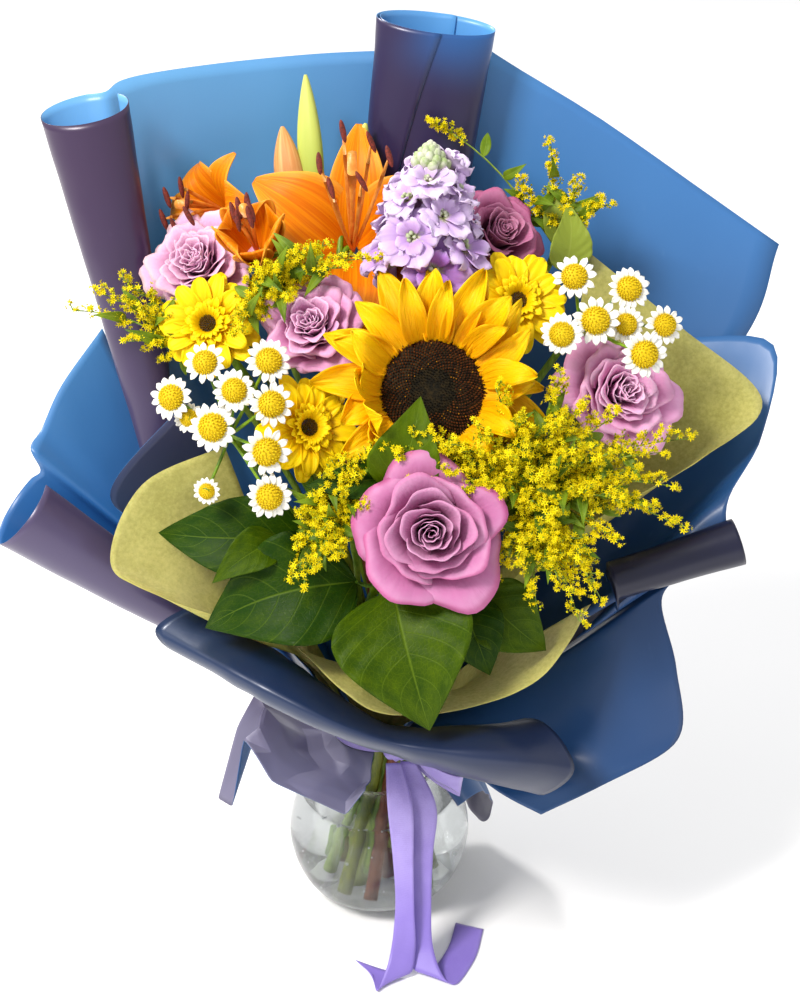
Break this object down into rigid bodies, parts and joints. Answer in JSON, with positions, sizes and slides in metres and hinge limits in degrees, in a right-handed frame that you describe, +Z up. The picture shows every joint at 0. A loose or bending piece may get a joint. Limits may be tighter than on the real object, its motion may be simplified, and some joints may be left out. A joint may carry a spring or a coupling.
{
  "type": "flower bouquet in vase",
  "caption": "Hand-tied bouquet of mixed garden flowers, wrapped in two-sided film and tissue, with a satin ribbon, standing in water in a round glass bowl vase.",
  "frame": {"origin": "middle of the vase's flat base", "axes": "+Z up out of the vase, -Y towards the viewer whom the bouquet's face looks at, +X to that viewer's right"},
  "size_m": [0.4696, 0.2801, 0.5731],
  "materials": {
    "vase_glass": "clear blown glass",
    "water": "clear water",
    "wrapping_film": "semi-matte film, blue on one side and purple-grey on the other",
    "tissue_paper": "thin translucent tissue paper",
    "satin_ribbon": "lavender satin",
    "stem": "fresh cut stem",
    "sunflower_petal": "fresh petal",
    "sunflower_disc": "dark seed head",
    "rose_petal": "velvety petal",
    "gerbera_petal": "fresh petal",
    "lily_petal": "waxy petal",
    "stock_petal": "frilled petal",
    "daisy": "small white daisy with a yellow dome",
    "goldenrod": "fine yellow florets",
    "leaf": "glossy dark leaf"
  },
  "bodies": {
    "root": {"daisies_left": "daisy", "daisies_right": "daisy", "film_back_left": "wrapping_film", "film_back_right": "wrapping_film", "film_front_collar": "wrapping_film", "film_front_right": "wrapping_film", "film_inner_corner": "wrapping_film", "film_left": "wrapping_film", "film_right": "wrapping_film", "film_skirt_left": "wrapping_film", "film_skirt_right": "wrapping_film", "gerbera_left": "gerbera_petal", "gerbera_left_stem": "stem", "gerbera_low": "gerbera_petal", "gerbera_low_stem": "stem", "gerbera_right": "gerbera_petal", "gerbera_right_stem": "stem", "goldenrod_front_left": "goldenrod", "goldenrod_left": "goldenrod", "goldenrod_right": "goldenrod", "goldenrod_upper": "goldenrod", "goldenrod_upper_right": "goldenrod", "leaves_front": "leaf", "leaves_front_right": "leaf", "leaves_left": "leaf", "lily_bloom_half_open": "lily_petal", "lily_bloom_left": "lily_petal", "lily_bloom_main": "lily_petal", "lily_stem": "stem", "ribbon_band": "satin_ribbon", "ribbon_loop": "satin_ribbon", "ribbon_tail_left": "satin_ribbon", "ribbon_tail_right": "satin_ribbon", "rose_front": "rose_petal", "rose_front_stem": "stem", "rose_left": "rose_petal", "rose_left_stem": "stem", "rose_right": "rose_petal", "rose_right_stem": "stem", "rose_upper_left": "rose_petal", "rose_upper_left_stem": "stem", "rose_upper_right": "rose_petal", "rose_upper_right_stem": "stem", "stock_florets": "stock_petal", "stock_stem": "stem", "sunflower_disc": "sunflower_disc", "sunflower_petals": "sunflower_petal", "sunflower_stem": "stem", "tissue_front": "tissue_paper", "tissue_left": "tissue_paper", "tissue_right": "tissue_paper", "vase_glass": "vase_glass", "vase_water": "water"}
  },
  "joints": []
}
